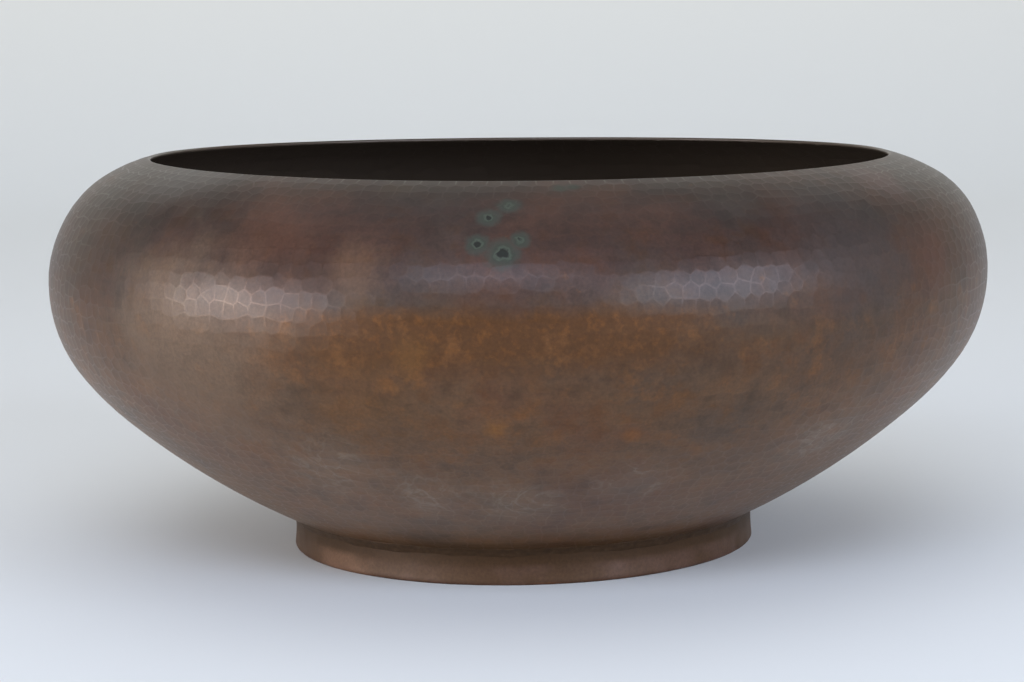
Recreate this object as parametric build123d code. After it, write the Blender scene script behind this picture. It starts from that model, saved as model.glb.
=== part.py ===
from build123d import *

import os
from math import cos, radians, sin

# A hand-raised copper bowl on an applied foot ring.
#
# The body is one sheet of copper, raised and closed in over a stake until its shoulder rolls
# inwards to a wide, nearly level mouth. The foot is a thicker copper strip bent into a hoop,
# its two ends soldered in a slanting seam, and the hoop is soldered under the body.
#
# Frame: millimetres, +Z up, the bowl's axis is Z, and Z = 0 is the surface that the foot
# stands on. Sections are drawn in a half-plane whose first coordinate is the radius.

# Body
BELLY_RADIUS = 140.0     # outside, at the widest place
BELLY_HEIGHT = 82.0      # of the widest place above the table
SHEET = 1.2              # the copper sheet's thickness after raising

# The outside of the wall is a chain of tangent arcs, as (radius, degrees turned), read away
# from the widest place. The inside is the same chain, one sheet nearer to the arcs' centres.
SHOULDER_ARCS = [(43.0, 4.2), (32.7, 56.4), (54.0, 15.6)]    # up to the lip
FLANK_ARCS = [(43.0, 36.5), (81.0, 11.4), (218.0, 16.4)]     # down to the foot
BASE_ARC_RADIUS = 45.0                                       # from the foot in to the flat base

# Foot ring
FOOT_TOP_RADIUS = 69.5       # outside, where it meets the body
FOOT_BOTTOM_RADIUS = 69.8    # outside, at the flare
FOOT_HOLLOW = 0.2            # how far the outside is hollowed between top and flare
FOOT_INNER_RADIUS = 67.2     # inside of the hoop
FOOT_TOE_ROUND = 0.7         # rounding of the two lower corners
SOLDER_GAP = 0.25            # solder film between the foot's top edge and the body

# Solder
OUTER_FILLET = 1.6           # leg of the solder fillet outside the foot
INNER_FILLET = 1.5           # leg of the solder fillet inside the foot
FILLET_HOLLOW = 2.2          # radius of a fillet's hollow face, in legs
SOLDER_BITE = 0.1            # how far a fillet is drawn into the copper, before it is cut back
SEAM_WIDTH = 0.3             # solder line where the strip's ends meet
SEAM_SLANT = 35.0            # degrees that the seam leans from the vertical
SEAM_AZIMUTH = 112.0         # degrees from +X, on the side away from the front


def turn_total(arcs):
    """Degrees that a chain of arcs turns through."""
    return sum(degrees for _, degrees in arcs)


FLANK_SLOPE = 90.0 - turn_total(FLANK_ARCS)      # of the body above the foot, from the level
LIP_HEADING = 90.0 + turn_total(SHOULDER_ARCS)   # of the wall where it ends, from +X


def chain(start, tangent, arcs, side, inset):
    """Tangent arcs from start, turning left (side 1) or right (side -1), each drawn inset."""
    edges = []
    for radius, degrees in arcs:
        arc = JernArc(start, tangent, radius - inset, side * degrees)
        edges.append(arc)
        start = arc @ 1
        tangent = arc % 1
    return edges


def skin(inset):
    """The body's skin from the axis to the lip, inset from the outside, and its lip point."""
    widest = (BELLY_RADIUS - inset, BELLY_HEIGHT)
    to_base = FLANK_ARCS + [(BASE_ARC_RADIUS, FLANK_SLOPE)]
    down = chain(widest, (0, -1), to_base, -1, inset)
    up = chain(widest, (0, 1), SHOULDER_ARCS, 1, inset)
    base_edge = down[-1] @ 1
    base = Line(base_edge, (0, base_edge.Y))
    return [base] + down + up, up[-1] @ 1


def body_section():
    """Half section of the raised sheet, with a fully rounded lip."""
    outside, outer_lip = skin(0)
    inside, inner_lip = skin(SHEET)
    along_wall = Vector(cos(radians(LIP_HEADING)), sin(radians(LIP_HEADING)))
    crest = (outer_lip + inner_lip) * 0.5 + along_wall * (SHEET / 2)
    lip = ThreePointArc(outer_lip, crest, inner_lip)
    centre_line = Line(outside[0] @ 1, inside[0] @ 1)
    return make_face(outside + [lip, centre_line] + inside)


def under_body(gap):
    """Everything under the body's outside and at least gap away from it."""
    edges, lip = skin(-gap)
    far = BELLY_RADIUS * 1.2
    table = Polyline(lip, (far, lip.Y), (far, 0), (0, 0), edges[0] @ 1)
    return make_face(edges + [table])


def crease(radius):
    """Where a vertical foot wall of that radius meets the body's base arc, and the slope there."""
    edges, _ = skin(0)
    flat_radius, flat_height = (edges[0] @ 0).X, (edges[0] @ 0).Y
    run = radius - flat_radius
    rise = BASE_ARC_RADIUS - (BASE_ARC_RADIUS**2 - run**2) ** 0.5
    slope = run / (BASE_ARC_RADIUS - rise)
    return Vector(radius, flat_height + rise), slope


def foot_section():
    """Half section of the foot strip: hollowed outside, flared below, bevelled to the body."""
    toe = FOOT_TOE_ROUND
    top, _ = crease(FOOT_TOP_RADIUS)
    into_body = top.Y + SHEET
    land_out = (FOOT_BOTTOM_RADIUS - toe, 0)
    flare = (FOOT_BOTTOM_RADIUS, toe)
    hollow = ((FOOT_TOP_RADIUS + FOOT_BOTTOM_RADIUS) / 2 - FOOT_HOLLOW, (top.Y + toe) / 2)
    inner_toe = (FOOT_INNER_RADIUS, toe)
    land_in = (FOOT_INNER_RADIUS + toe, 0)
    outline = [
        Line(land_in, land_out),
        RadiusArc(land_out, flare, -toe),
        ThreePointArc(flare, hollow, top),
        Polyline(top, (FOOT_TOP_RADIUS, into_body), (FOOT_INNER_RADIUS, into_body), inner_toe),
        RadiusArc(inner_toe, land_in, -toe),
    ]
    return make_face(outline) & under_body(SOLDER_GAP)


def fillet_ends(radius, leg, side):
    """The ends of a fillet at a crease: just inside the foot, and just inside the body's sheet."""
    corner, slope = crease(radius)
    on_foot = corner + Vector(-side * SOLDER_BITE, -leg)
    on_body = corner + Vector(side * leg, side * leg * slope + SOLDER_BITE)
    return on_foot, on_body


def joint_section(body, foot):
    """Half section of the solder: a film over the foot's top edge and a fillet on each side."""
    outer_foot, outer_body = fillet_ends(FOOT_TOP_RADIUS, OUTER_FILLET, 1)
    inner_foot, inner_body = fillet_ends(FOOT_INNER_RADIUS, INNER_FILLET, -1)
    outline = [
        RadiusArc(outer_foot, outer_body, FILLET_HOLLOW * OUTER_FILLET),
        Line(outer_body, inner_body),
        RadiusArc(inner_body, inner_foot, FILLET_HOLLOW * INNER_FILLET),
        Line(inner_foot, outer_foot),
    ]
    return make_face(outline) - body - foot


def turned(section):
    """A half section spun round the bowl's axis."""
    return revolve(Plane.XZ * section, Axis.Z)


def seam_cutter():
    """A thin slanting slab through the hoop's wall, where the strip's two ends meet."""
    wall = FOOT_BOTTOM_RADIUS - FOOT_INNER_RADIUS
    height = crease(FOOT_TOP_RADIUS)[0].Y
    slab = Box(4 * wall, SEAM_WIDTH, 4 * height)
    place = Rotation(0, 0, SEAM_AZIMUTH) * Pos(FOOT_TOP_RADIUS, 0, height / 2)
    return place * Rotation(SEAM_SLANT, 0, 0) * slab


def build():
    body = body_section()
    foot = foot_section()
    hoop = turned(foot)
    slab = seam_cutter()
    return {
        "bowl_body": turned(body),
        "foot_ring": hoop - slab,
        "foot_joint_solder": turned(joint_section(body, foot)),
        "foot_seam_solder": hoop & slab,
    }


os.makedirs("parts", exist_ok=True)
for name, shape in build().items():
    shape.label = name
    export_step(shape, f"parts/{name}.step")
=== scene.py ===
import math
from collections import Counter, namedtuple

import bpy
import numpy as np
from mathutils import Matrix, Vector, geometry


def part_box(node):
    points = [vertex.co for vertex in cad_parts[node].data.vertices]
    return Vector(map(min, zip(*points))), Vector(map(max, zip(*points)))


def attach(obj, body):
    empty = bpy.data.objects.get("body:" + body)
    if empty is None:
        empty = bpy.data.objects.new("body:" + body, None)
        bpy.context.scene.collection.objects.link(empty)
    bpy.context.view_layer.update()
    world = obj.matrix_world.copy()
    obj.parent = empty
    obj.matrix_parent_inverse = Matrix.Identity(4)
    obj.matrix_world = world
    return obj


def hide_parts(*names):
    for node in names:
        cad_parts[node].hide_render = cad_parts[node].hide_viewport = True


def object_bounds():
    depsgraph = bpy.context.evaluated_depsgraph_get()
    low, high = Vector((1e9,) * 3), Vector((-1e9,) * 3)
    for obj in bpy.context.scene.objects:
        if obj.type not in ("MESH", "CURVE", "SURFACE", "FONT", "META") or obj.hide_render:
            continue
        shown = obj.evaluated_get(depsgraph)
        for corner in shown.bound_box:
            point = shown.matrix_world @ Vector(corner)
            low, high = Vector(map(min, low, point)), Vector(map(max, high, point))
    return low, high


# A raised and planished copper bowl on a soldered foot ring.
#
# Shapes are worked out in millimetres and turned to metres when a mesh is made. The body's skin
# is laid out flat by an angle-true map, so that the hammer marks can be placed and shared out in
# a plane and then put back on the bowl. Every hammer mark is a real facet of the mesh.

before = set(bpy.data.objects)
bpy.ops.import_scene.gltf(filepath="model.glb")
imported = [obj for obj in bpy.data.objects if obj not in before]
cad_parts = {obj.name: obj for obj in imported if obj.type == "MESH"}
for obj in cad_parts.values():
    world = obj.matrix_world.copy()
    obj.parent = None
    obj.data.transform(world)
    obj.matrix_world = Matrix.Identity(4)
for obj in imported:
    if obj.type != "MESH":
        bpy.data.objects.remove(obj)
CAD_LOW, CAD_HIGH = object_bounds()
FOOT_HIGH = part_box("foot_ring")[1]

MM = 0.001
BODY = "root"

# The body's outline, as in the CAD: tangent arcs as (radius, degrees turned), from the widest place
BELLY_RADIUS = CAD_HIGH.x / MM
BELLY_HEIGHT = 82.0
SHEET = 1.2
SHOULDER_ARCS = [(43.0, 4.2), (32.7, 56.4), (54.0, 15.6)]
FLANK_ARCS = [(43.0, 36.5), (81.0, 11.4), (218.0, 16.4)]
BASE_ARC_RADIUS = 45.0
ARC_STEPS = 160
ON_AXIS = 1.0            # within this radius the flat map is the plan itself
SAME_PLACE = 1e-9        # points of the outline nearer than this are one point

# Hammer marks
OUTER_MARK = 4.35        # from one mark to the next along a course, outside
INNER_MARK = 8.6         # the same inside, where a larger and softer hammer was used
COURSE_STEP = 0.87       # from course to course, in marks
MARK_JITTER = 0.22       # how far a blow lands from its place, in marks
MARK_TILT = 0.0045       # how far a blow leans, in radians
MARK_DEPTH = 0.02        # how much deeper some blows go than others
MARK_DISH = 0.010        # hollow in the middle of a mark
MARK_BOW = 0.50          # share of the bowl's own curve that is left within a mark
RIDGE_WIDTH = 0.80       # rounded ridge between two marks
RIDGE_PROUD = 0.008      # height of the ridge's crown over the marks' planes
SHORT_EDGE = 0.9         # corners nearer than this are one corner
FEWEST = 5               # marks in the smallest course
MIRRORED = 2             # courses that are mirrored over the lip
LIP_CALM = 0.4           # share of the jitter towards the lip that those courses keep
MESH_CLOSE = 1e-7        # points nearer than this are one to the mesher
OUTER_SEED = 11
INNER_SEED = 29

# Uneven hand work
WOBBLE = 0.30            # out of round, and out of the drawn outline
MOUTH_SHIFT = 1.1        # the mouth sits to the right of the foot
MOUTH_LEAN = 0.0139      # it is lower on that side, in millimetres for each millimetre across
MOUTH_SADDLE = 0.5       # it is higher at its left and right than at its front and back
MOUTH_OVAL = 1.15        # it is wider that way by this at each end, and as much narrower the other way
MOUTH_FROM = 92.0        # height from which the mouth's shift and lean grow

LIP_STEPS = 6            # rings round the rolled-over edge of the sheet
LIP_AROUND = 640
LIP_INSIDE = 0.4         # the share of that edge, from the outside, where the inside's colour begins
LIP_RIDGE = 0.6          # how much of a ridge's rubbed look the edge has
LIP_CORNER_RIDGE = 0.2   # and the last corners before it
PLAIN_MARK = 0.5         # the tone where no single mark is

# Foot ring and its solder, as in the CAD
FOOT_TOP_RADIUS = 69.5
FOOT_BOTTOM_RADIUS = FOOT_HIGH.x / MM
FOOT_INNER_RADIUS = 67.2
FOOT_HOLLOW = 0.2
FOOT_TOE = 0.7
SOLDER_GAP = 0.25
OUTER_FILLET = 1.6
INNER_FILLET = 1.5
SEAM_WIDTH = 0.3
SEAM_SLANT = 35.0
SEAM_AZIMUTH = 112.0

FOOT_AROUND = 540        # sections round the hoop
FOOT_DENTS = 260         # soft blows that trued the hoop
DENTS_FROM = 0.5         # the lowest of them
DENTS_TO = 9.0           # and the highest
DENT_WIDTH = 2.6
DENT_DEPTH = 0.05
SOLDER_UNEVEN = 0.22     # how much a fillet's leg grows and shrinks along the crease
SOLDER_SINK = 0.06       # how far the solder reaches into the copper beside it
SEAM_SMEAR = 0.35        # how far the seam's solder spreads over each of the strip's ends
SEAM_PROUD = 0.07        # how high it stands
SEAM_SUNK = 1.2          # how far its edges lie below the copper, in heights
SEAM_CROWN = 2.2         # and how far the middle rises from there
SEAM_RIPPLE = 0.4        # how much of that rise comes and goes
RIPPLE_UP = 2.3          # in radians for each millimetre of height
RIPPLE_ACROSS = 5.0      # and radians over the seam's width
SEAM_WANDER = 0.12       # how far the seam wanders
WANDER_UP = 1.9          # in radians for each millimetre of height
FILLET_ELBOW = 0.22      # where a fillet's hollow bends, as a share of its leg
FOOT_SEED = 47
BEVEL_STEPS, WALL_STEPS, TOE_STEPS, INNER_STEPS = 5, 14, 6, 9      # points along the hoop's section
FILLET_STEPS = 7
SEAM_STEPS = 9

# Waves round the axis, as size, how many go round, start in radians, and the millimetres of height
# that turn one by a radian
LEVEL = math.inf
WALL_WAVES = [(0.5, 2, 0.8, LEVEL), (0.3, 3, 2.1, 31.0), (0.2, 5, 0.4, -17.0), (0.18, 9, 0.0, 11.0),
              (0.12, 14, 1.3, -7.0)]
LIP_WAVES = [(0.10, 7, 0.5, LEVEL), (0.07, 23, 0.0, LEVEL), (0.05, 61, 0.0, LEVEL)]
HOOP_WAVES = [(0.05, 4, 1.0, LEVEL), (0.04, 9, 0.0, 3.0)]
SOLDER_WAVES = [(0.5, 11, 0.7, LEVEL), (0.3, 27, 2.0, LEVEL), (0.2, 53, 0.0, LEVEL)]

# Green corrosion on the shoulder, as azimuth from +X, height and how far the halo reaches
VERDIGRIS = [(-93.2, 109.0, 4.2), (-94.3, 102.5, 4.0), (-91.6, 100.1, 5.6), (-89.7, 103.4, 3.4),
             (-90.9, 111.7, 4.2), (-84.4, 115.3, 3.0), (-82.6, 115.5, 2.6)]

# Patches where the brown came out differently, and one of painted light, as colour, strength, azimuth, height
# and reach
STAINS_AND_PAINTED_LIGHT = [("#6a4620", 0.30, -108.0, 58.5, 27.0), ("#75563f", 0.35, -107.3, 96.9, 13.0),
          ("#6c471d", 0.35, -101.3, 75.4, 8.0), ("#80501a", 0.65, -93.0, 54.5, 4.6),
          ("#7c4a1c", 0.55, -77.2, 51.5, 4.2),
          ("#573a35", 0.55, -35.0, 111.7, 14.0), ("#57352a", 0.50, -35.5, 90.4, 16.0),
          ("#463f3b", 0.70, -141.0, 115.7, 26.0), ("#3c3735", 0.60, -50.0, 98.0, 36.0),
          # The first patch below, wide and pale, low on the left front, is partly a greyer brown and partly
          # painted light under the left window's gloss
          ("#6e5845", 0.60, -129.0, 73.0, 43.0), ("#5f3d2d", 0.55, -119.0, 106.0, 24.0)]

# Pale scuffs low on the flank, as azimuth, height and reach
SCUFFS = [(-115.0, 40.5, 22.0), (-90.4, 30.0, 19.0), (-103.0, 32.0, 17.0), (-48.2, 43.0, 20.0),
          (-75.0, 36.0, 17.0), (60.0, 38.0, 24.0), (150.0, 33.0, 22.0)]

# The worn place on the foot, as azimuth, height and reach, and how much of the brown has gone
FOOT_RUB = (-140.0, 2.5, 20.0, 0.65)

# Distance from a patch's middle, in reaches and with about half a reach of noise added, at which it
# ends and within which it is whole
PATCH_END = 1.45
PATCH_FULL = 0.65
SPOT_RAGGED = 0.5        # how far a green spot's edge wanders, in reaches
SCUFF_STRENGTH = 0.52
COPPER_METALLIC = 0.35   # under its brown the copper shines through only this much
RIDGE_METALLIC = 0.10    # more on a ridge
RIDGE_RUB = 0.02         # how much of the brown is rubbed off a ridge
RIDGE_BURNISH = -0.15    # and how much less rough it is
CRUST_ROUGH = 0.3        # how much rougher the green spots are
OUT_OF_REACH = 9.0       # farther from a green spot than any halo, in reaches

PAPER_ROUGHNESS = 0.9

# The paper sweep, in metres
SWEEP_HALF = 8.0
SWEEP_FRONT = -8.0
SWEEP_BACK = 2.6
SWEEP_TOP = 3.6
SWEEP_BEND = 1.4
BEND_STEPS = 24

# Soft lights: azimuth from the front to the right, elevation, distance, width, height, watts, colour
AIM = (0, 0, 0.09)       # where they look, near the bowl's middle
WINDOWS = [("window_left", -63, 2, 1.5, 1.05, 0.85, 25, "#e9f1ff"),
           ("window_front", -8, 36, 1.6, 1.0, 0.42, 9, "#cfe1ff"),
           ("window_right", 45, 17, 1.6, 1.1, 0.66, 17, "#d2e3ff"),
           ("ceiling", 0, 88, 1.8, 2.2, 2.2, 9, "#ffffff")]
WASH = ("backdrop_wash", 0, 88, 1.7, 4.5, 1.5, 21, "#d9ebff")
WASH_AIM = (0, 2.35, 0)
DAYLIGHT = 1.17

CAMERA_PLACE = (0.0, -0.7679, 0.1617)
CAMERA_PITCH, CAMERA_YAW, CAMERA_ROLL = -7.544, 0.170, -1.238
FOCAL_LENGTH = 89.46
SENSOR_WIDTH = 36.0

FACTOR, UNDER, OVER, MIXED = 0, 6, 7, 2      # a colour Mix node's sockets, and its output

Skin = namedtuple("Skin", "radius height out_r out_z plane")


# ---------------------------------------------------------------- the outline and its flat map

def walk(radius, height, heading, arcs, way):
    """Points along tangent arcs, each as (radius, height, direction of the outward normal)."""
    found = []
    for bend, turn in arcs:
        normals = np.radians(heading + way * np.linspace(0, turn, ARC_STEPS))
        r = radius + bend * (np.cos(normals) - math.cos(normals[0]))
        z = height + bend * (np.sin(normals) - math.sin(normals[0]))
        found.append(np.stack([r, z, normals], 1))
        radius, height = r[-1], z[-1]
        heading += way * turn
    return np.vstack(found)


def outline():
    """The outside from the axis, along the flat base, up the flank and over to the lip."""
    slope = 90.0 - sum(turn for _, turn in FLANK_ARCS)
    down = walk(BELLY_RADIUS, BELLY_HEIGHT, 0.0, FLANK_ARCS + [(BASE_ARC_RADIUS, slope)], -1)
    up = walk(BELLY_RADIUS, BELLY_HEIGHT, 0.0, SHOULDER_ARCS, 1)
    base_radius, base_height = down[-1, 0], down[-1, 1]
    flat_r = np.linspace(0.0, base_radius, ARC_STEPS, endpoint=False)
    flat = np.stack([flat_r, np.full(ARC_STEPS, base_height), np.full(ARC_STEPS, -math.pi / 2)], 1)
    return np.vstack([flat, down[::-1], up[1:]])


def skin(inset, side):
    """The outside (side 1) or inside (side -1) of the sheet, with its radius in the flat map."""
    line = outline()
    out_r, out_z = np.cos(line[:, 2]), np.sin(line[:, 2])
    radius = line[:, 0] - inset * out_r
    height = line[:, 1] - inset * out_z
    step = np.hypot(np.diff(radius), np.diff(height))
    middle = (radius[1:] + radius[:-1]) / 2
    growth = np.where(middle > ON_AXIS, step / np.maximum(middle, ON_AXIS), 0.0)
    start = int(np.argmax(radius > ON_AXIS))
    growth[:start] = 0.0
    plane = radius[start] * np.exp(np.concatenate([[0.0], np.cumsum(growth)]))
    plane[:start] = radius[:start]
    keep = np.concatenate([[True], step > SAME_PLACE])
    return Skin(radius[keep], height[keep], side * out_r[keep], side * out_z[keep], plane[keep])


def place(on, flat):
    """Points of the flat map put on the skin, and the skin's normals there."""
    reach = np.hypot(flat[:, 0], flat[:, 1])
    angle = np.arctan2(flat[:, 1], flat[:, 0])
    r = np.interp(reach, on.plane, on.radius)
    z = np.interp(reach, on.plane, on.height)
    out_r = np.interp(reach, on.plane, on.out_r)
    out_z = np.interp(reach, on.plane, on.out_z)
    normals = np.stack([out_r * np.cos(angle), out_r * np.sin(angle), out_z], 1)
    normals /= np.linalg.norm(normals, axis=1)[:, None]
    return np.stack([r * np.cos(angle), r * np.sin(angle), z], 1), normals


def waves(parts, angle, height=0.0):
    """The sum of a list of waves at an angle and a height."""
    return sum(size * np.sin(count * angle + height / rise + start) for size, count, start, rise in parts)


def by_hand(points):
    """The small unevenness of hand work: out of round, and a mouth that is off centre and leans."""
    x, y, z = points.T
    angle = np.arctan2(y, x)
    rise = np.clip((z - FOOT_HIGH.z / MM) / BELLY_HEIGHT, 0, 1)
    near_top = np.clip((z - MOUTH_FROM) / (CAD_HIGH.z / MM - MOUTH_FROM), 0, 1)
    near_top = near_top * near_top * (3 - 2 * near_top)
    swell = WOBBLE * waves(WALL_WAVES, angle, z) * rise / BELLY_RADIUS
    moved = points.copy()
    moved[:, 0] += x * swell + (MOUTH_SHIFT + MOUTH_OVAL * np.cos(angle)) * near_top
    moved[:, 1] += y * swell - MOUTH_OVAL * np.sin(angle) * near_top
    moved[:, 2] += (MOUTH_SADDLE * np.cos(2 * angle) - MOUTH_LEAN * x) * near_top
    return moved


# ---------------------------------------------------------------- hammer marks

def courses(on, pitch, rng):
    """Where the blows land in the flat map, course by course, and how many of them are real.

    The last courses are mirrored over the lip, so that the last marks end along it.
    """
    step = np.hypot(np.diff(on.radius), np.diff(on.height))
    along = np.concatenate([[0.0], np.cumsum(step)])
    rows = round(along[-1] / (pitch * COURSE_STEP))
    found, last = [np.zeros((1, 2))], []
    for row in range(1, rows):
        s = along[-1] * (row + 0.5) / rows
        count = max(FEWEST, round(2 * math.pi * np.interp(s, along, on.radius) / pitch))
        jitter = rng.uniform(-MARK_JITTER, MARK_JITTER, (count, 2))
        turn = (np.arange(count) + jitter[:, 0] + rng.uniform()) * 2 * math.pi / count
        by_the_lip = row >= rows - MIRRORED
        calm = LIP_CALM if by_the_lip else 1.0
        reach = np.interp(s + jitter[:, 1] * pitch * calm, along, on.plane)
        blows = np.stack([reach * np.cos(turn), reach * np.sin(turn)], 1)
        found.append(blows)
        if by_the_lip:
            last.append(blows * (on.plane[-1] / reach[:, None]) ** 2)
    real = sum(len(blows) for blows in found)
    return np.vstack(found + last), real


def circumcentres(points, triangles):
    """The centre of the circle through each triangle's corners."""
    a, b, c = (points[triangles[:, k]] for k in range(3))
    b, c = b - a, c - a
    twice = 2 * (b[:, 0] * c[:, 1] - b[:, 1] * c[:, 0])
    bb, cc = (b * b).sum(1), (c * c).sum(1)
    x = (c[:, 1] * bb - b[:, 1] * cc) / twice
    y = (b[:, 0] * cc - c[:, 0] * bb) / twice
    return a + np.stack([x, y], 1)


def joined(count, pairs):
    """The lowest member of the group that each of count things is in, where pairs are together."""
    root = list(range(count))

    def top(k):
        while root[k] != k:
            root[k] = root[root[k]]
            k = root[k]
        return k

    for a, b in pairs:
        a, b = top(a), top(b)
        root[max(a, b)] = min(a, b)
    return np.array([top(k) for k in range(count)])


def share_out(on, blows, real):
    """The polygon that each blow keeps to itself: corners in the flat map, and rings of corners."""
    made = geometry.delaunay_2d_cdt([Vector(p) for p in blows], [], [], 0, MESH_CLOSE)
    triangles = np.array(made[2])
    corners = circumcentres(np.array([list(p) for p in made[0]]), triangles)
    reach = np.hypot(corners[:, 0], corners[:, 1])
    corners *= np.minimum(1.0, on.plane[-1] / reach)[:, None]

    sides = {}
    for number, triangle in enumerate(triangles.tolist()):
        for k in range(3):
            side = frozenset((triangle[k], triangle[k - 1]))
            sides.setdefault(side, []).append(number)
    pairs = np.array([pair for pair in sides.values() if len(pair) == 2])
    solid, _ = place(on, corners)
    apart = np.linalg.norm(solid[pairs[:, 0]] - solid[pairs[:, 1]], axis=1)
    group = joined(len(corners), pairs[apart < SHORT_EDGE].tolist())
    size = np.bincount(group, minlength=len(corners))
    for axis in range(2):
        total = np.bincount(group, corners[:, axis], len(corners))
        corners[:, axis] = total / np.maximum(size, 1)

    around = [[] for _ in range(real)]
    for number, triangle in enumerate(triangles.tolist()):
        for blow in triangle:
            if blow < real:
                around[blow].append(number)
    rings = []
    for blow, numbers in enumerate(around):
        raw = corners[group[numbers]] - blows[blow]
        order = np.argsort(np.arctan2(raw[:, 1], raw[:, 0]))
        ring = []
        for corner in group[numbers][order].tolist():
            if corner not in ring:
                ring.append(corner)
        rings.append(ring)
    return corners, rings


def averages(values, group, count):
    """The mean of the rows of values in each of count groups."""
    totals = np.stack([np.bincount(group, column, count) for column in values.T], 1)
    return totals / np.bincount(group, minlength=count)[:, None]


def facets(on, flat, mark_of, rng):
    """Each blow's centre, the way it leans, and the rim of its facet within its corners."""
    marks = mark_of[-1] + 1
    middle = averages(flat, mark_of, marks)
    centre, normal = place(on, middle)
    size = np.linalg.norm(place(on, flat)[0] - centre[mark_of], axis=1)
    reach = averages(size[:, None], mark_of, marks)
    shrink = 1 - RIDGE_WIDTH / 2 / (reach * math.cos(math.pi / 6))
    lean = normal + rng.normal(0, MARK_TILT, (marks, 3))
    lean /= np.linalg.norm(lean, axis=1)[:, None]
    centre = centre - normal * rng.uniform(0, MARK_DEPTH, (marks, 1))
    rim, _ = place(on, middle[mark_of] + (flat - middle[mark_of]) * shrink[mark_of])
    off_plane = ((rim - centre[mark_of]) * lean[mark_of]).sum(1)[:, None]
    rim = rim - lean[mark_of] * (off_plane * (1 - MARK_BOW) - MARK_DISH)
    return centre, lean, rim


def ridges(on, corners, corner_of, centre, lean):
    """The ridges' crowns, at the mean height of the facets that meet there, and each corner's crown."""
    used = np.unique(corner_of)
    under, normal = place(on, corners[used])
    crown_of = np.zeros(len(corners), int)
    crown_of[used] = np.arange(len(used))
    crown = crown_of[corner_of]
    gap = ((centre - under[crown]) * lean).sum(1) / (lean * normal[crown]).sum(1)
    height = averages(gap[:, None], crown, len(used))
    return under + normal * (height * (1 - MARK_BOW) + MARK_DISH + RIDGE_PROUD), crown_of


def facet_faces(rings, crowns):
    """A fan over each facet, and quads from its rim up to the crowns of the ridges round it."""
    faces, at = [], 0
    for mark, ring in enumerate(rings):
        for k in range(len(ring)):
            this, following = at + k, at + (k + 1) % len(ring)
            low, high = len(rings) + this, len(rings) + following
            faces.append((mark, low, high))
            faces.append((low, crowns[this], crowns[following], high))
        at += len(ring)
    return faces


def lip_corners(rings):
    """The corners along the lip, at the ends of the sides that only one blow has."""
    uses = Counter(frozenset((ring[k - 1], ring[k])) for ring in rings for k in range(len(ring)))
    return [corner for side, count in uses.items() if count == 1 for corner in side]


def hammered(on, pitch, seed):
    """A planished skin: points, faces, ridge and mark values, and its points along the lip."""
    rng = np.random.default_rng(seed)
    blows, real = courses(on, pitch, rng)
    corners, rings = share_out(on, blows, real)
    mark_of = np.repeat(np.arange(len(rings)), [len(ring) for ring in rings])
    corner_of = np.concatenate([np.array(ring) for ring in rings])
    centre, lean, rim = facets(on, corners[corner_of], mark_of, rng)
    crowns, crown_of = ridges(on, corners, corner_of, centre[mark_of], lean[mark_of])
    first_crown = len(centre) + len(rim)
    faces = facet_faces(rings, first_crown + crown_of[corner_of])
    lip = first_crown + np.unique(crown_of[lip_corners(rings)])
    ridge_value = np.concatenate([np.zeros(first_crown), np.ones(len(crowns))])
    ridge_value[lip] = LIP_CORNER_RIDGE
    tone = rng.uniform(0, 1, len(rings))
    mark_value = np.concatenate([tone, tone[mark_of], np.full(len(crowns), PLAIN_MARK)])
    return np.vstack([centre, rim, crowns]), faces, ridge_value, mark_value, lip


# ---------------------------------------------------------------- meshes

def loop_order(points, loop):
    """A ring of point numbers in order of angle, with the angles."""
    angles = np.arctan2(points[loop, 1], points[loop, 0])
    order = np.argsort(angles)
    return np.array(loop)[order], angles[order]


def stitch(points, lower, upper):
    """Triangles between two rings of points round the axis, whatever their counts."""
    a, a_angle = loop_order(points, lower)
    b, b_angle = loop_order(points, upper)
    faces, i, j = [], 0, 0
    full = 2 * math.pi
    while i < len(a) or j < len(b):
        next_a = a_angle[(i + 1) % len(a)] + full * ((i + 1) // len(a)) if i < len(a) else math.inf
        next_b = b_angle[(j + 1) % len(b)] + full * ((j + 1) // len(b)) if j < len(b) else math.inf
        if next_a <= next_b:
            faces.append((a[i % len(a)], a[(i + 1) % len(a)], b[j % len(b)]))
            i += 1
        else:
            faces.append((a[i % len(a)], b[(j + 1) % len(b)], b[j % len(b)]))
            j += 1
    return faces


def piece(name, points, faces, values, material, node):
    """A piece that rides on the body and stands for a CAD node, from points in millimetres."""
    mesh = bpy.data.meshes.new(name)
    faces = [tuple(int(k) for k in face) for face in faces]
    mesh.from_pydata((np.asarray(points) * MM).tolist(), [], faces)
    for title, numbers in values.items():
        attribute = mesh.attributes.new(title, "FLOAT", "POINT")
        attribute.data.foreach_set("value", np.asarray(numbers, np.float32))
    mesh.shade_smooth()
    mesh.materials.append(material)
    mesh.validate()
    made = bpy.data.objects.new(name, mesh)
    bpy.context.scene.collection.objects.link(made)
    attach(made, BODY)
    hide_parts(node)
    return made


def lip_edge(outside):
    """Rings of points over the sheet's rounded edge at the mouth, from the outside to the inside."""
    turns = np.linspace(-math.pi, math.pi, LIP_AROUND, endpoint=False)
    reach = outside.plane[-1]
    skin_points, normals = place(outside, np.stack([reach * np.cos(turns), reach * np.sin(turns)], 1))
    along = np.stack([-np.cos(turns) * normals[:, 2], -np.sin(turns) * normals[:, 2],
                      np.hypot(normals[:, 0], normals[:, 1])], 1)
    uneven = 1 + waves(LIP_WAVES, turns)[:, None]
    middle = skin_points - normals * SHEET / 2
    edge = []
    for step in range(1, LIP_STEPS + 1):
        a = math.pi * (0.5 - step / (LIP_STEPS + 1))
        edge.append(middle + (normals * math.sin(a) + along * math.cos(a) * uneven) * SHEET / 2)
    return np.vstack(edge)


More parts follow.
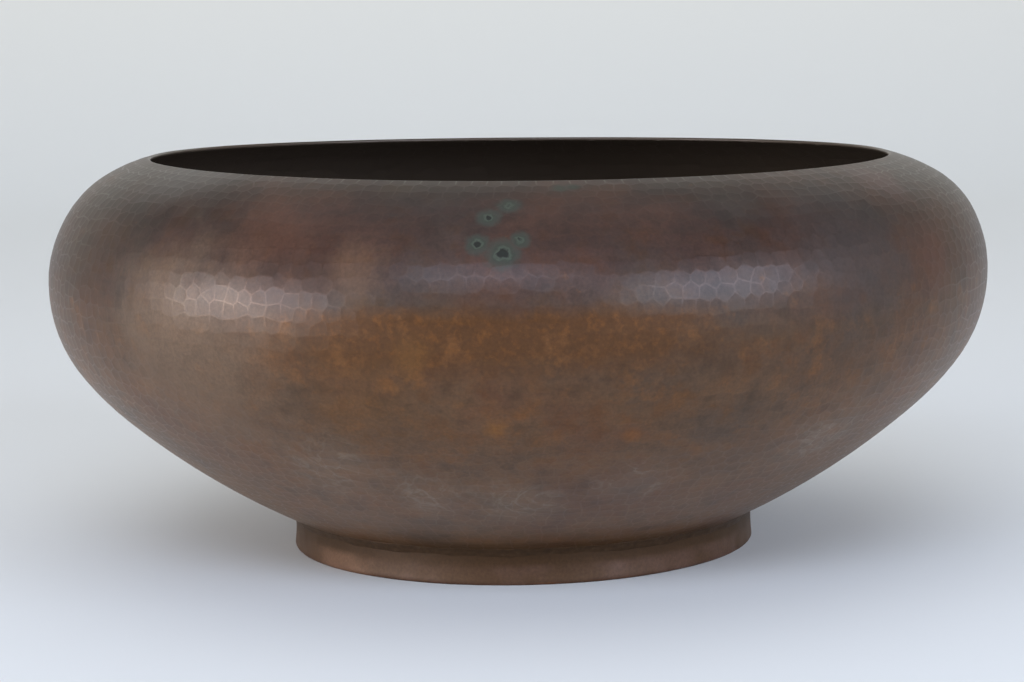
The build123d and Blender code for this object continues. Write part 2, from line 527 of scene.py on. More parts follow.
def body(material):
    """The raised sheet: planished outside, softer marks inside, and a rounded edge at the mouth."""
    outside, inside = skin(0.0, 1), skin(SHEET, -1)
    out_points, out_faces, out_ridge, out_mark, out_lip = hammered(outside, OUTER_MARK, OUTER_SEED)
    in_points, in_faces, in_ridge, in_mark, in_lip = hammered(inside, INNER_MARK, INNER_SEED)
    edge = lip_edge(outside)
    first_in = len(out_points)
    first_edge = first_in + len(in_points)
    points = by_hand(np.vstack([out_points, in_points, edge]))

    rings = [first_edge + k * LIP_AROUND + np.arange(LIP_AROUND) for k in range(LIP_STEPS)]
    faces = [face[::-1] for face in out_faces]
    faces += [tuple(first_in + k for k in face) for face in in_faces]
    faces += stitch(points, out_lip, rings[0])
    for lower, upper in zip(rings, rings[1:]):
        faces += [(lower[k], lower[(k + 1) % LIP_AROUND], upper[(k + 1) % LIP_AROUND], upper[k])
                  for k in range(LIP_AROUND)]
    faces += stitch(points, rings[-1], first_in + in_lip)

    across = np.repeat(np.arange(1, LIP_STEPS + 1) / (LIP_STEPS + 1), LIP_AROUND)
    values = {
        "ridge": np.concatenate([out_ridge, in_ridge, np.full(len(edge), LIP_RIDGE)]),
        "mark": np.concatenate([out_mark, in_mark, np.full(len(edge), PLAIN_MARK)]),
        "inside": np.concatenate([np.zeros(first_in), np.ones(len(in_points)), across > LIP_INSIDE]),
    }
    return piece("planished_body", points, faces, values, material, "bowl_body")


def underside(radius, gap=0.0):
    """Height of the body's outside at a radius near the foot, or of a line a gap below it."""
    line = outline()
    line = line[line[:, 1] < BELLY_HEIGHT / 2]
    moved_radius = line[:, 0] + gap * np.cos(line[:, 2])
    moved_height = line[:, 1] + gap * np.sin(line[:, 2])
    return np.interp(radius, moved_radius, moved_height)


def foot_wall(height):
    """Radius of the hoop's hollowed outside at a height."""
    part = (height - FOOT_TOE) / (underside(FOOT_TOP_RADIUS) - FOOT_TOE)
    straight = FOOT_BOTTOM_RADIUS + (FOOT_TOP_RADIUS - FOOT_BOTTOM_RADIUS) * part
    return straight - 4 * FOOT_HOLLOW * part * (1 - part)


def foot_section():
    """The hoop's section as radius and height, from its bevelled top down the outside and round."""
    tops = np.linspace(FOOT_INNER_RADIUS, FOOT_TOP_RADIUS, BEVEL_STEPS)
    bevel = np.stack([tops, underside(tops, SOLDER_GAP)], 1)
    heights = np.linspace(bevel[-1, 1], FOOT_TOE, WALL_STEPS)[1:-1]
    wall = np.stack([foot_wall(heights), heights], 1)
    turn = np.linspace(0, math.pi / 2, TOE_STEPS)
    across, rise = FOOT_TOE * (1 - np.cos(turn)), FOOT_TOE * (1 - np.sin(turn))
    toe_out = np.stack([FOOT_BOTTOM_RADIUS - across, rise], 1)
    toe_in = np.stack([FOOT_INNER_RADIUS + across, rise], 1)
    heights = np.linspace(FOOT_TOE, bevel[0, 1], INNER_STEPS)[1:-1]
    inner = np.stack([np.full(len(heights), FOOT_INNER_RADIUS), heights], 1)
    return np.vstack([bevel, wall, toe_out, toe_in[::-1], inner])


def seam_angle(radius, height, side):
    """Azimuth of one side (1 or -1) of the slanting cut through the hoop."""
    slant = math.radians(SEAM_SLANT)
    middle = underside(FOOT_TOP_RADIUS) / 2
    across = side * SEAM_WIDTH / 2 / math.cos(slant) - (height - middle) * math.tan(slant)
    return math.radians(SEAM_AZIMUTH) + across / radius


def tube_faces(around, section, closed):
    """Quads between sections in a row; a closed row joins its ends, an open one gets two caps."""
    faces = []
    for k in range(around if closed else around - 1):
        this, following = k * section, (k + 1) % around * section
        for j in range(section):
            after = (j + 1) % section
            faces.append((this + j, this + after, following + after, following + j))
    if not closed:
        last = (around - 1) * section
        faces.append(tuple(range(section))[::-1])
        faces.append(tuple(range(last, last + section)))
    return faces


def dented(points, rng):
    """Soft blows on the outside of the hoop, and the slight waves of a strip bent by hand."""
    radius = np.hypot(points[:, 0], points[:, 1])
    angle = np.arctan2(points[:, 1], points[:, 0])
    still = FOOT_INNER_RADIUS + FOOT_TOE
    outer = np.clip((radius - still) / (FOOT_TOP_RADIUS - still), 0, 1)
    push = waves(HOOP_WAVES, angle, points[:, 2])
    for turn, height in rng.uniform((-math.pi, DENTS_FROM), (math.pi, DENTS_TO), (FOOT_DENTS, 2)):
        aside = (angle - turn + math.pi) % (2 * math.pi) - math.pi
        apart = np.hypot(aside * FOOT_TOP_RADIUS, points[:, 2] - height)
        push -= outer * DENT_DEPTH * np.exp(-((apart / DENT_WIDTH) ** 2) * 2)
    moved = points.copy()
    moved[:, :2] += points[:, :2] / radius[:, None] * push[:, None]
    return moved


def turned(section, angles):
    """Points of a section, given as radius and height columns, at the angles given for each."""
    radius, height = section.T
    heights = np.broadcast_to(height, angles.shape)
    return np.stack([radius * np.cos(angles), radius * np.sin(angles), heights], -1)


def foot_hoop(material):
    """The strip bent to a hoop, with its two ends cut on the slant."""
    section = foot_section()
    first = seam_angle(section[:, 0], section[:, 1], 1)
    last = seam_angle(section[:, 0], section[:, 1], -1) + 2 * math.pi
    part = np.linspace(0, 1, FOOT_AROUND)[:, None]
    points = turned(section, first + (last - first) * part).reshape(-1, 3)
    points = dented(points, np.random.default_rng(FOOT_SEED))
    faces = tube_faces(FOOT_AROUND, len(section), False)
    return piece("foot_hoop", points, faces, {}, material, "foot_ring")


def fillet(corner, leg, side):
    """A hollow arc from the hoop's wall to the body, both sunk a little into the copper."""
    low = np.array([corner - side * SOLDER_SINK, underside(corner) - leg])
    high = np.array([corner + side * leg, underside(corner + side * leg) + SOLDER_SINK])
    bend = leg * FILLET_ELBOW
    elbow = np.array([corner + side * bend, underside(corner) - bend])
    part = np.linspace(0, 1, FILLET_STEPS)[:, None]
    return low * (1 - part) ** 2 + 2 * elbow * part * (1 - part) + high * part ** 2


def foot_joint(material):
    """Silver solder that was run into the crease: a film with an uneven fillet on each side."""
    turns = np.linspace(-math.pi, math.pi, FOOT_AROUND, endpoint=False)
    points = []
    for turn in turns:
        flow = SOLDER_UNEVEN * waves(SOLDER_WAVES, turn)
        outer = fillet(FOOT_TOP_RADIUS, OUTER_FILLET * (1 + flow), 1)
        inner = fillet(FOOT_INNER_RADIUS, INNER_FILLET * (1 - flow), -1)
        section = np.vstack([outer, inner[::-1]])
        points.append(turned(section, np.full(len(section), turn)))
    faces = [face[::-1] for face in tube_faces(FOOT_AROUND, len(points[0]), True)]
    return piece("joint_solder", np.vstack(points), faces, {}, material,
                 "foot_joint_solder")


def foot_seam(material):
    """The slanting line of solder between the strip's ends, a little proud and spread over them."""
    section = foot_section()
    outward = section - section.mean(0)
    outward /= np.linalg.norm(outward, axis=1)[:, None]
    low = seam_angle(section[:, 0], section[:, 1], -1) - SEAM_SMEAR / section[:, 0]
    high = seam_angle(section[:, 0], section[:, 1], 1) + SEAM_SMEAR / section[:, 0]
    across = np.linspace(0, 1, SEAM_STEPS)
    points = []
    for part in across:
        ripple = 1 + SEAM_RIPPLE * np.sin(section[:, 1] * RIPPLE_UP + part * RIPPLE_ACROSS)
        proud = SEAM_PROUD * (SEAM_CROWN * math.sin(math.pi * part) * ripple - SEAM_SUNK)
        swollen = section + outward * proud[:, None]
        swollen[:, 1] = np.maximum(swollen[:, 1], 0.0)
        wander = SEAM_WANDER * np.sin(section[:, 1] * WANDER_UP) / section[:, 0]
        points.append(turned(swollen, low + (high - low) * part + wander))
    faces = tube_faces(len(across), len(section), False)
    return piece("seam_solder", np.vstack(points), faces, {}, material,
                 "foot_seam_solder")


# ---------------------------------------------------------------- materials

def tint(code):
    """A colour given as sRGB hex, as linear red, green, blue and alpha."""
    parts = [int(code[k:k + 2], 16) / 255 for k in (1, 3, 5)]
    return [p / 12.92 if p <= 0.04045 else ((p + 0.055) / 1.055) ** 2.4 for p in parts] + [1.0]


def add(tree, kind, inputs=None, stops=None, **settings):
    """Adds a node with its settings, its inputs set or linked, and a ramp's stops."""
    made = tree.nodes.new(kind)
    for name, value in settings.items():
        setattr(made, name, value)
    for socket, value in (inputs or {}).items():
        if isinstance(value, bpy.types.ShaderNodeMix):
            value = value.outputs[MIXED]
        elif isinstance(value, bpy.types.Node):
            value = value.outputs[0]
        if isinstance(value, bpy.types.NodeSocket):
            tree.links.new(value, made.inputs[socket])
        else:
            made.inputs[socket].default_value = value
    if stops:
        ramp = made.color_ramp
        while len(ramp.elements) < len(stops):
            ramp.elements.new(1.0)
        for element, (position, colour) in zip(ramp.elements, stops):
            element.position = position
            element.color = tint(colour) if isinstance(colour, str) else [colour] * 3 + [1.0]
    return made


def new_material(name, metallic, specular, wax, wax_roughness):
    """A material with its shader's uniform values, and the shader's tree."""
    material = bpy.data.materials.new(name)
    material.use_nodes = True
    tree = material.node_tree
    tree.nodes.clear()
    shader = add(tree, "ShaderNodeBsdfPrincipled", {
        "Metallic": metallic, "Specular IOR Level": specular,
        "Coat Weight": wax, "Coat Roughness": wax_roughness})
    add(tree, "ShaderNodeOutputMaterial", {"Surface": shader})
    return material, tree, shader


def on_skin(azimuth, height):
    """A place on the body's outside, in metres."""
    line = outline()
    radius = np.interp(height, line[:, 1], line[:, 0])
    turn = math.radians(azimuth)
    return radius * math.cos(turn) * MM, radius * math.sin(turn) * MM, height * MM


def patch(tree, where, ragged, middle, reach, strength):
    """How much a ragged round patch covers: its strength in the middle, fading out at its reach."""
    apart = add(tree, "ShaderNodeVectorMath", {0: where, 1: middle}, operation="DISTANCE").outputs["Value"]
    share = add(tree, "ShaderNodeMath", {0: apart, 1: 1 / (reach * MM), 2: ragged}, operation="MULTIPLY_ADD")
    return add(tree, "ShaderNodeMapRange", {
        "Value": share, "From Min": PATCH_END, "From Max": PATCH_FULL, "To Min": 0.0, "To Max": strength},
        interpolation_type="SMOOTHSTEP")


def verdigris(tree, where, colour):
    """Small round spots of green corrosion, each a dark core, a paler ring and a grey-green halo."""
    ragged = add(tree, "ShaderNodeTexNoise", {"Vector": where, "Scale": 1 / (1.6 * MM), "Detail": 3.0})
    nearest = OUT_OF_REACH
    for azimuth, height, reach in VERDIGRIS:
        apart = add(tree, "ShaderNodeVectorMath", {
            0: where, 1: on_skin(azimuth, height)}, operation="DISTANCE")
        share = add(tree, "ShaderNodeMath", {
            0: apart.outputs["Value"], 1: 1 / (reach * MM)}, operation="MULTIPLY")
        nearest = add(tree, "ShaderNodeMath", {0: nearest, 1: share}, operation="MINIMUM")
    rough_edge = add(tree, "ShaderNodeMath", {
        0: ragged, 1: SPOT_RAGGED, 2: nearest}, operation="MULTIPLY_ADD")
    depth = add(tree, "ShaderNodeMath", {0: rough_edge, 1: SPOT_RAGGED / 2}, operation="SUBTRACT")
    green = add(tree, "ShaderNodeValToRGB", {"Fac": depth}, stops=[
        (0.0, "#1d231d"), (0.20, "#171c17"), (0.30, "#454d41"), (0.42, "#343a30"), (0.60, "#3a3e36"),
        (1.0, "#3a3830")])
    cover = add(tree, "ShaderNodeValToRGB", {"Fac": depth}, stops=[
        (0.0, 0.95), (0.45, 0.85), (0.70, 0.62), (1.0, 0.0)])
    return add(tree, "ShaderNodeMix", {FACTOR: cover, UNDER: colour, OVER: green}, data_type="RGBA"), cover


def patina(tree, where, level):
    """The liver-of-sulphur brown: zones by height, clouds, the cloth's streaks and mottling. The zones by
    height are partly the patina's own and partly painted light: lighter low on the flank, where less light
    reaches, and darker on the shoulder, which the ceiling lights.
    """
    drift = add(tree, "ShaderNodeTexNoise", {"Vector": where, "Scale": 1 / (26 * MM), "Detail": 4.0})
    drifted = add(tree, "ShaderNodeMath", {0: drift, 1: 0.16, 2: level}, operation="MULTIPLY_ADD")
    # Painted light and shade over the patina's own zones: the brown is lighter low on the flank, where less
    # light reaches, and darker towards the shoulder and lip, which the ceiling lights
    colour = add(tree, "ShaderNodeValToRGB", {"Fac": drifted}, stops=[
        (0.16, "#705238"), (0.36, "#6a4c32"), (0.60, "#60442d"), (0.68, "#563c28"), (0.74, "#513925"),
        (0.80, "#4d3829"), (0.86, "#47342b"), (0.95, "#402c25"), (1.0, "#31211c")])

    cloud = add(tree, "ShaderNodeTexNoise", {
        "Vector": where, "Scale": 1 / (38 * MM), "Detail": 5.0, "Roughness": 0.6})
    redder = add(tree, "ShaderNodeValToRGB", {"Fac": cloud}, stops=[(0.48, 0.0), (0.66, 0.5)])
    greyer = add(tree, "ShaderNodeValToRGB", {"Fac": cloud}, stops=[(0.34, 0.45), (0.50, 0.0)])
    colour = add(tree, "ShaderNodeMix", {
        FACTOR: redder, UNDER: colour.outputs[0], OVER: tint("#523122")}, data_type="RGBA")
    colour = add(tree, "ShaderNodeMix", {
        FACTOR: greyer, UNDER: colour, OVER: tint("#3e362f")}, data_type="RGBA")

    drawn = add(tree, "ShaderNodeVectorMath", {0: where, 1: (0.12, 0.12, 1.0)}, operation="MULTIPLY")
    streak = add(tree, "ShaderNodeTexNoise", {"Vector": drawn, "Scale": 1 / (2.2 * MM), "Detail": 3.0})
    streaky = add(tree, "ShaderNodeValToRGB", {"Fac": streak}, stops=[(0.3, 0.91), (0.7, 1.06)])
    mottle = add(tree, "ShaderNodeTexNoise", {
        "Vector": where, "Scale": 1 / (7 * MM), "Detail": 5.0, "Roughness": 0.62})
    mottled = add(tree, "ShaderNodeValToRGB", {"Fac": mottle}, stops=[
        (0.34, "#e0e0dd"), (0.5, "#ffffff"), (0.66, "#ffeed0")])
    for tone in (streaky, mottled):
        colour = add(tree, "ShaderNodeMix", {FACTOR: 1.0, UNDER: colour, OVER: tone},
                     data_type="RGBA", blend_type="MULTIPLY")
    return colour, cloud, streak


def painted_front_reflection(tree, where, level, colour):
    """In front, under the belly: a golden band with soft paler flecks, a painted reflection of the dark room
    in front, where the brown shows darker and more golden.
    """
    flat = add(tree, "ShaderNodeVectorMath", {0: where, 1: (1.0, 1.0, 0.0)}, operation="MULTIPLY")
    out = add(tree, "ShaderNodeVectorMath", {0: flat}, operation="NORMALIZE")
    ahead = add(tree, "ShaderNodeVectorMath", {0: out, 1: (-0.05, -1.0, 0.0)}, operation="DOT_PRODUCT")
    blur = add(tree, "ShaderNodeTexNoise", {"Vector": where, "Scale": 1 / (11 * MM), "Detail": 4.0})
    facing = add(tree, "ShaderNodeMath", {
        0: blur, 1: 0.10, 2: ahead.outputs["Value"]}, operation="MULTIPLY_ADD")
    front = add(tree, "ShaderNodeValToRGB", {"Fac": facing}, stops=[(0.94, 0.0), (1.0, 1.0)])
    edge = add(tree, "ShaderNodeMath", {0: blur, 1: 0.05, 2: level}, operation="MULTIPLY_ADD")
    band = add(tree, "ShaderNodeValToRGB", {"Fac": edge}, stops=[
        (0.60, 0.0), (0.665, 0.8), (0.74, 0.9), (0.775, 0.0)])
    amount = add(tree, "ShaderNodeMath", {0: front, 1: band}, operation="MULTIPLY")
    # Painted reflection: the front-facing band under the belly is darkened to a golden brown, standing in for
    # the dark room mirrored there
    colour = add(tree, "ShaderNodeMix", {
        FACTOR: amount, UNDER: colour, OVER: tint("#502f0e")}, data_type="RGBA")
    fleck = add(tree, "ShaderNodeTexNoise", {
        "Vector": where, "Scale": 1 / (2.6 * MM), "Detail": 5.0, "Roughness": 0.7})
    gold = add(tree, "ShaderNodeValToRGB", {"Fac": fleck}, stops=[(0.50, 0.0), (0.72, 0.40)])
    flecked = add(tree, "ShaderNodeMath", {0: gold, 1: amount}, operation="MULTIPLY")
    return add(tree, "ShaderNodeMix", {
        FACTOR: flecked, UNDER: colour, OVER: tint("#844f1a")}, data_type="RGBA")


def bare_copper(tree, where, level, colour):
    """Copper shows through in soft spots of a few millimetres, mostly between foot and belly."""
    thin = add(tree, "ShaderNodeTexNoise", {
        "Vector": where, "Scale": 1 / (8 * MM), "Detail": 5.0, "Roughness": 0.65})
    belt = add(tree, "ShaderNodeValToRGB", {"Fac": level}, stops=[
        (0.25, 0.0), (0.42, 0.12), (0.68, 0.12), (0.76, 0.0)])
    bare = add(tree, "ShaderNodeMath", {0: thin, 1: belt}, operation="ADD")
    amount = add(tree, "ShaderNodeValToRGB", {"Fac": bare}, stops=[(0.66, 0.0), (0.80, 0.55)])
    return add(tree, "ShaderNodeMix", {
        FACTOR: amount, UNDER: colour, OVER: tint("#704722")}, data_type="RGBA")


def stains_and_painted_light(tree, where, colour):
    """The placed patches of another brown, one of them partly painted light."""
    ragged = add(tree, "ShaderNodeTexNoise", {
        "Vector": where, "Scale": 1 / (10 * MM), "Detail": 5.0, "Roughness": 0.65})
    for code, strength, azimuth, height, reach in STAINS_AND_PAINTED_LIGHT:
        cover = patch(tree, where, ragged, on_skin(azimuth, height), reach, strength)
        colour = add(tree, "ShaderNodeMix", {
            FACTOR: cover, UNDER: colour, OVER: tint(code)}, data_type="RGBA")
    return colour


def scuffs(tree, where, colour):
    """Soft pale wisps where the bowl was slid about and wiped."""
    ragged = add(tree, "ShaderNodeTexNoise", {
        "Vector": where, "Scale": 1 / (12 * MM), "Detail": 5.0, "Roughness": 0.6})
    curl = add(tree, "ShaderNodeTexNoise", {
        "Vector": where, "Scale": 1 / (15 * MM), "Detail": 4.0, "Distortion": 1.5})
    wisp = add(tree, "ShaderNodeValToRGB", {"Fac": curl}, stops=[
        (0.40, 0.25), (0.465, 0.3), (0.50, 1.0), (0.535, 0.3), (0.60, 0.35)])
    for azimuth, height, reach in SCUFFS:
        cover = patch(tree, where, ragged, on_skin(azimuth, height), reach, SCUFF_STRENGTH)
        wiped = add(tree, "ShaderNodeMath", {0: cover, 1: wisp}, operation="MULTIPLY")
        colour = add(tree, "ShaderNodeMix", {
            FACTOR: wiped, UNDER: colour, OVER: tint("#857869")}, data_type="RGBA")
    return colour


def planished_copper():
    """Copper sheet, raised, planished with a polished hammer, browned with liver of sulphur, waxed.

    It gives the eye a soft brown skin that drifts from mauve to ochre, copper showing through in small
    patches, slightly brighter ridges between the hammer marks, and a thin clear gloss of wax. Some of its
    colour is painted light and shade: lighter low on the flank and darker on the shoulder, a golden painted
    reflection in front under the belly, and painted shade in the crease over the foot.
    """
    material, tree, shader = new_material(
        "planished copper, brown patina", metallic=COPPER_METALLIC, specular=0.15,
        wax=0.38, wax_roughness=0.31)
    where = add(tree, "ShaderNodeTexCoord").outputs["Object"]
    height = add(tree, "ShaderNodeSeparateXYZ", {"Vector": where}).outputs["Z"]
    level = add(tree, "ShaderNodeMath", {0: height, 1: 1 / CAD_HIGH.z}, operation="MULTIPLY")
    colour, cloud, streak = patina(tree, where, level)
    # Painted reflection of the dark room in front, as a golden band under the belly
    colour = painted_front_reflection(tree, where, level, colour)
    colour = bare_copper(tree, where, level, colour)
    colour = stains_and_painted_light(tree, where, colour)

    # The oxide's own grain, under a millimetre, and each mark took the colour a little differently
    grain = add(tree, "ShaderNodeTexNoise", {
        "Vector": where, "Scale": 1 / (0.9 * MM), "Detail": 3.0, "Roughness": 0.6})
    speck = add(tree, "ShaderNodeValToRGB", {"Fac": grain}, stops=[(0.3, 0.84), (0.7, 1.14)])
    tone = add(tree, "ShaderNodeAttribute", attribute_name="mark").outputs["Fac"]
    toned = add(tree, "ShaderNodeValToRGB", {"Fac": tone}, stops=[(0.0, 0.95), (1.0, 1.04)])
    for shade in (speck, toned):
        colour = add(tree, "ShaderNodeMix", {FACTOR: 1.0, UNDER: colour, OVER: shade},
                     data_type="RGBA", blend_type="MULTIPLY")

    # The ridges between the marks are rubbed a very little
    ridge = add(tree, "ShaderNodeAttribute", attribute_name="ridge").outputs["Fac"]
    rubbed = add(tree, "ShaderNodeMath", {0: ridge, 1: RIDGE_RUB}, operation="MULTIPLY")
    colour = add(tree, "ShaderNodeMix", {
        FACTOR: rubbed, UNDER: colour, OVER: tint("#86695a")}, data_type="RGBA")
    colour = scuffs(tree, where, colour)

    # Painted shade in the crease over the foot: the body darkens towards the foot ring
    crease_shade = add(tree, "ShaderNodeValToRGB", {"Fac": level}, stops=[(0.085, 0.7), (0.125, 0.0)])
    colour = add(tree, "ShaderNodeMix", {
        FACTOR: crease_shade, UNDER: colour, OVER: tint("#4a3119")}, data_type="RGBA")
    colour, crust = verdigris(tree, where, colour)

    # The inside kept the whole of its dark patina
    inside = add(tree, "ShaderNodeAttribute", attribute_name="inside").outputs["Fac"]
    dark = add(tree, "ShaderNodeMix", {
        FACTOR: cloud, UNDER: tint("#4e4339"), OVER: tint("#584b3f")}, data_type="RGBA")
    colour = add(tree, "ShaderNodeMix", {FACTOR: inside, UNDER: colour, OVER: dark}, data_type="RGBA")
    tree.links.new(colour.outputs[MIXED], shader.inputs["Base Color"])

    # Waxed marks are smoother than bare or corroded spots, and the ridges are burnished
    patchy = add(tree, "ShaderNodeMapRange", {"Value": streak, "To Min": 0.46, "To Max": 0.56})
    burnished = add(tree, "ShaderNodeMath", {0: ridge, 1: RIDGE_BURNISH, 2: patchy}, operation="MULTIPLY_ADD")
    crusted = add(tree, "ShaderNodeMath", {0: crust, 1: CRUST_ROUGH, 2: burnished}, operation="MULTIPLY_ADD")
    tree.links.new(crusted.outputs[0], shader.inputs["Roughness"])
    bright = add(tree, "ShaderNodeMath", {
        0: ridge, 1: RIDGE_METALLIC, 2: COPPER_METALLIC}, operation="MULTIPLY_ADD")
    tree.links.new(bright.outputs[0], shader.inputs["Metallic"])
    bump = add(tree, "ShaderNodeBump", {"Height": grain, "Strength": 0.5, "Distance": 0.02 * MM})
    tree.links.new(bump.outputs[0], shader.inputs["Normal"])
    tree.links.new(bump.outputs[0], shader.inputs["Coat Normal"])
    return material


def foot_copper():
    """Copper strip, bent and soldered, browned with the body and rubbed on every shelf since.

    It gives the eye a dark band under the crease, partly darker patina and partly painted shade under the
    body's overhang, a paler band below, and copper worn bare along the toe.
    """
    material, tree, shader = new_material(
        "foot strip copper, brown patina", metallic=COPPER_METALLIC, specular=0.15,
        wax=0.15, wax_roughness=0.4)
    where = add(tree, "ShaderNodeTexCoord").outputs["Object"]
    height = add(tree, "ShaderNodeSeparateXYZ", {"Vector": where}).outputs["Z"]
    level = add(tree, "ShaderNodeMath", {0: height, 1: 1 / FOOT_HIGH.z}, operation="MULTIPLY")
    drawn = add(tree, "ShaderNodeVectorMath", {0: where, 1: (0.35, 0.35, 1.0)}, operation="MULTIPLY")
    blot = add(tree, "ShaderNodeTexNoise", {
        "Vector": drawn, "Scale": 1 / (5 * MM), "Detail": 5.0, "Roughness": 0.6})
    drifted = add(tree, "ShaderNodeMath", {0: blot, 1: 0.35, 2: level}, operation="MULTIPLY_ADD")
    # Painted shade over the patina's own colour: the strip darkens towards its top, under the body's overhang
    patina_and_painted_shade = add(tree, "ShaderNodeValToRGB", {"Fac": drifted}, stops=[
        (0.16, "#5c3b25"), (0.24, "#4f3727"), (0.36, "#543c29"), (0.62, "#4f3826"), (0.78, "#46301c"),
        (1.0, "#402b17")])

    # Worn places on the lower half, and one that is rubbed more than the rest
    worn = add(tree, "ShaderNodeTexNoise", {"Vector": where, "Scale": 1 / (22 * MM), "Detail": 4.0})
    worn_amount = add(tree, "ShaderNodeValToRGB", {"Fac": worn}, stops=[(0.50, 0.0), (0.64, 0.7)])
    lower = add(tree, "ShaderNodeValToRGB", {"Fac": level}, stops=[(0.45, 1.0), (0.65, 0.0)])
    pinkish = add(tree, "ShaderNodeMath", {0: worn_amount, 1: lower}, operation="MULTIPLY")
    colour = add(tree, "ShaderNodeMix", {
        FACTOR: pinkish, UNDER: patina_and_painted_shade, OVER: tint("#63493c")}, data_type="RGBA")
    azimuth, rub_height, reach, strength = FOOT_RUB
    turn, radius = math.radians(azimuth), FOOT_BOTTOM_RADIUS * MM
    middle = (radius * math.cos(turn), radius * math.sin(turn), rub_height * MM)
    rubbed = patch(tree, where, blot, middle, reach, strength)
    rubbed = add(tree, "ShaderNodeMath", {0: rubbed, 1: lower}, operation="MULTIPLY")
    colour = add(tree, "ShaderNodeMix", {
        FACTOR: rubbed, UNDER: colour, OVER: tint("#75553f")}, data_type="RGBA")

    grain = add(tree, "ShaderNodeTexNoise", {
        "Vector": where, "Scale": 1 / (0.8 * MM), "Detail": 3.0, "Roughness": 0.6})
    speck = add(tree, "ShaderNodeValToRGB", {"Fac": grain}, stops=[(0.3, 0.82), (0.7, 1.15)])
    colour = add(tree, "ShaderNodeMix", {FACTOR: 1.0, UNDER: colour, OVER: speck},
                 data_type="RGBA", blend_type="MULTIPLY")
    tree.links.new(colour.outputs[MIXED], shader.inputs["Base Color"])
    patchy = add(tree, "ShaderNodeMapRange", {"Value": blot, "To Min": 0.42, "To Max": 0.60})
    tree.links.new(patchy.outputs[0], shader.inputs["Roughness"])
    bump = add(tree, "ShaderNodeBump", {"Height": grain, "Strength": 0.6, "Distance": 0.03 * MM})
    tree.links.new(bump.outputs[0], shader.inputs["Normal"])
    return material


def silver_solder():
    """Hard silver solder, left as it ran, tarnished and full of old polish and dust.

    It gives the eye a dark brownish line with a few paler beads.
    """
    material, tree, shader = new_material(
        "silver solder, tarnished", metallic=0.5, specular=0.2, wax=0.1, wax_roughness=0.4)
    where = add(tree, "ShaderNodeTexCoord").outputs["Object"]
    bead = add(tree, "ShaderNodeTexNoise", {
        "Vector": where, "Scale": 1 / (1.8 * MM), "Detail": 4.0, "Roughness": 0.6})
    colour = add(tree, "ShaderNodeValToRGB", {"Fac": bead}, stops=[
        (0.30, "#3c2b1b"), (0.55, "#493421"), (0.68, "#503d2b"), (0.78, "#5f5348")])
    tree.links.new(colour.outputs[0], shader.inputs["Base Color"])
    patchy = add(tree, "ShaderNodeMapRange", {"Value": bead, "To Min": 0.65, "To Max": 0.40})
    tree.links.new(patchy.outputs[0], shader.inputs["Roughness"])
    bump = add(tree, "ShaderNodeBump", {"Height": bead, "Strength": 0.7, "Distance": 0.08 * MM})
    tree.links.new(bump.outputs[0], shader.inputs["Normal"])
    return material


def paper():
    """Rolled paper, matt: neutral on the floor, and lighter and warmer up the backdrop, painted light where
    the backdrop is lit more than the floor.
    """
    material, tree, shader = new_material(
        "pale paper sweep", metallic=0.0, specular=0.1, wax=0.0, wax_roughness=0.0)
    where = add(tree, "ShaderNodeTexCoord").outputs["Object"]
    height = add(tree, "ShaderNodeSeparateXYZ", {"Vector": where}).outputs["Z"]
    # Painted light: the paper grows lighter and warmer with height, for the backdrop lit more than the floor
    colour = add(tree, "ShaderNodeValToRGB", {"Fac": height}, stops=[(0.0, "#e3e3e1"), (0.5, "#f5eddd")])
    tree.links.new(colour.outputs[0], shader.inputs["Base Color"])
    shader.inputs["Roughness"].default_value = PAPER_ROUGHNESS
    return material


# ---------------------------------------------------------------- stage

def stage():
    """A pale seamless floor that curves up into a backdrop."""
    line = [(SWEEP_FRONT, 0.0)]
    line += [(SWEEP_BACK - SWEEP_BEND + SWEEP_BEND * math.sin(a), SWEEP_BEND - SWEEP_BEND * math.cos(a))
             for a in np.linspace(0, math.pi / 2, BEND_STEPS)]
    line.append((SWEEP_BACK, SWEEP_TOP))
    points = [(x, y, z) for y, z in line for x in (-SWEEP_HALF, SWEEP_HALF)]
    faces = [(2 * k, 2 * k + 1, 2 * k + 3, 2 * k + 2) for k in range(len(line) - 1)]
    mesh = bpy.data.meshes.new("sweep")
    mesh.from_pydata(points, [], faces)
    mesh.shade_smooth()
    mesh.materials.append(paper())
    sweep = bpy.data.objects.new("sweep", mesh)
    bpy.context.scene.collection.objects.link(sweep)


def softbox(name, azimuth, elevation, distance, width, height, power, colour, target=AIM):
    """A soft light that looks at the bowl or another place."""
    light = bpy.data.lights.new(name, "AREA")
    light.shape = "RECTANGLE"
    light.size, light.size_y = width, height
    light.energy = power
    light.color = tint(colour)[:3]
    made = bpy.data.objects.new(name, light)
    a, e = math.radians(azimuth), math.radians(elevation)
    back = Vector((math.sin(a) * math.cos(e), -math.cos(a) * math.cos(e), math.sin(e)))
    made.location = Vector(target) + back * distance
    made.rotation_euler = back.to_track_quat("Z", "Y").to_euler()
    bpy.context.scene.collection.objects.link(made)
    return made


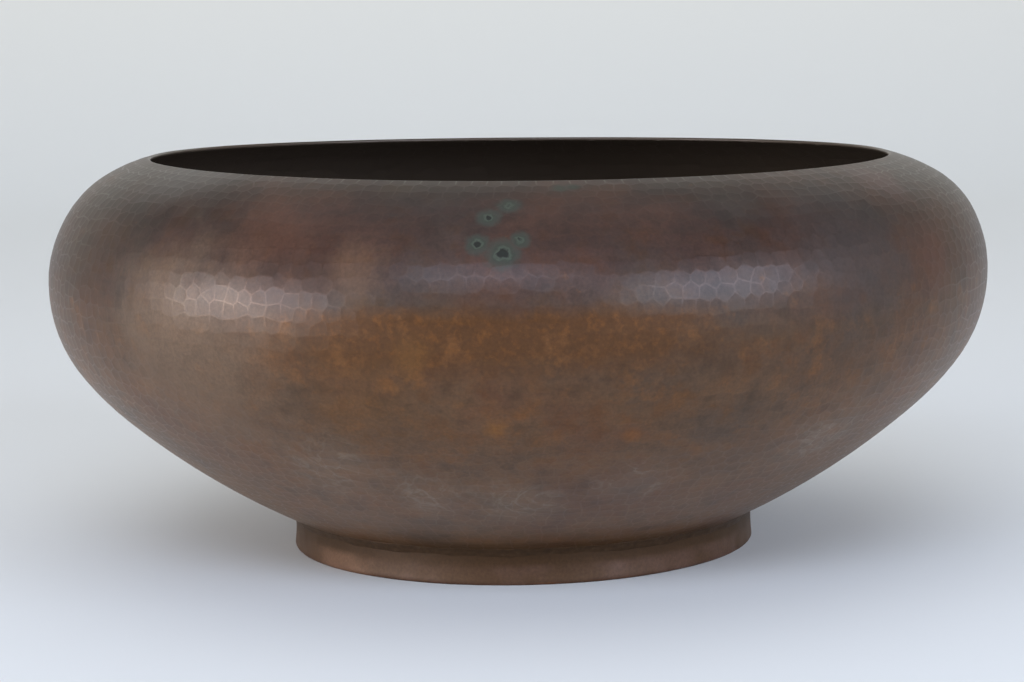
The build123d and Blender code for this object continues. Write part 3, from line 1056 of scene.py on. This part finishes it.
def daylight():
    """The room's own light: brightest near the horizon and behind, and a little more to the left."""
    world = bpy.data.worlds.new("daylight")
    world.use_nodes = True
    tree = world.node_tree
    direction = add(tree, "ShaderNodeTexCoord").outputs["Generated"]
    compass = add(tree, "ShaderNodeSeparateXYZ", {"Vector": direction})
    colour = add(tree, "ShaderNodeValToRGB", {"Fac": compass.outputs["Z"]}, stops=[
        (0.0, "#eae9e7"), (0.35, "#d6d6d5"), (0.7, "#87888a")])
    room = add(tree, "ShaderNodeMapRange", {
        "Value": compass.outputs["Y"], "From Min": -1.0, "From Max": 0.1, "To Min": 0.53, "To Max": 1.0})
    aside = add(tree, "ShaderNodeMapRange", {
        "Value": compass.outputs["X"], "From Min": -1.0, "From Max": 1.0, "To Min": 1.30, "To Max": 0.90})
    for share in (room, aside):
        colour = add(tree, "ShaderNodeMix", {FACTOR: 1.0, UNDER: colour, OVER: share},
                     data_type="RGBA", blend_type="MULTIPLY")
    background = tree.nodes["Background"]
    tree.links.new(colour.outputs[MIXED], background.inputs["Color"])
    background.inputs["Strength"].default_value = DAYLIGHT
    bpy.context.scene.world = world


def lights():
    """Three windows and a dim ceiling, a wash on the backdrop that no gloss shows, and daylight."""
    for window in WINDOWS:
        softbox(*window)
    wash = softbox(*WASH, target=WASH_AIM)
    wash.visible_glossy = False
    daylight()


def camera():
    """A long lens in front, a little above the mouth."""
    lens = bpy.data.cameras.new("camera")
    lens.lens = FOCAL_LENGTH
    lens.sensor_width = SENSOR_WIDTH
    made = bpy.data.objects.new("camera", lens)
    pitch, yaw, roll = (math.radians(a) for a in (CAMERA_PITCH, CAMERA_YAW, CAMERA_ROLL))
    level_aim = Matrix.Rotation(yaw, 4, "Z") @ Matrix.Rotation(math.pi / 2 + pitch, 4, "X")
    made.matrix_world = Matrix.Translation(CAMERA_PLACE) @ level_aim @ Matrix.Rotation(roll, 4, "Z")
    bpy.context.scene.collection.objects.link(made)
    bpy.context.scene.camera = made


solder = silver_solder()
body(planished_copper())
foot_hoop(foot_copper())
foot_joint(solder)
foot_seam(solder)
stage()
lights()
camera()
bpy.context.scene.view_settings.view_transform = "Standard"
